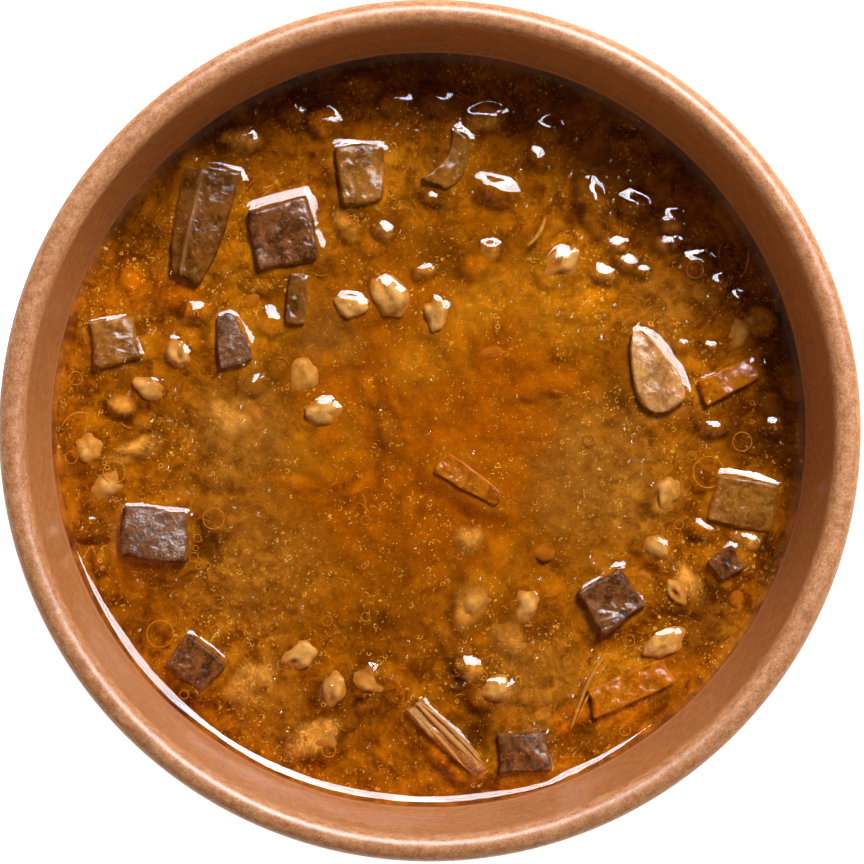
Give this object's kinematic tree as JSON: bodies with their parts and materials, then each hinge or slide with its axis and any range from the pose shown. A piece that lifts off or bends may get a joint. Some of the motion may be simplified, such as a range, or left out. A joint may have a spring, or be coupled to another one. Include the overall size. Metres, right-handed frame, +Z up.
{
  "type": "bowl of barley vegetable soup",
  "caption": "Round paper takeaway bowl with a rolled rim, filled with cloudy amber broth with barley grains, dark and pale diced vegetables, carrot sticks and celery.",
  "frame": {"origin": "on the surface that the bowl stands on, under the centre of its base", "axes": "+Z up through the middle of the bowl, +Y to the side that is at the top of the picture, +X to the side that is at its right"},
  "size_m": [0.15, 0.15, 0.06],
  "materials": {
    "paper": "brown kraft board with a thin, slightly glossy coating",
    "broth": "wet and glossy, cloudy amber brown",
    "dark_root": "wet, rough cut, dark brown",
    "pale_root": "wet, translucent, straw coloured",
    "celery": "wet, ribbed, olive brown",
    "carrot": "wet, cooked orange",
    "meat": "fibrous, pale brown",
    "onion": "wet, translucent, cooked"
  },
  "bodies": {
    "root": {"bowl": "paper", "broth": "broth", "dark_dice_1": "dark_root", "dark_dice_2": "dark_root", "dark_dice_3": "dark_root", "dark_dice_4": "dark_root", "dark_dice_5": "dark_root", "dark_dice_6": "dark_root", "dark_wedge_1": "dark_root", "pale_dice_1": "pale_root", "pale_dice_2": "pale_root", "pale_dice_3": "pale_root", "pale_wedge_1": "pale_root", "celery_1": "celery", "celery_2": "celery", "carrot_1": "carrot", "carrot_2": "carrot", "carrot_3": "carrot", "meat_1": "meat", "onion_1": "onion"}
  },
  "joints": []
}
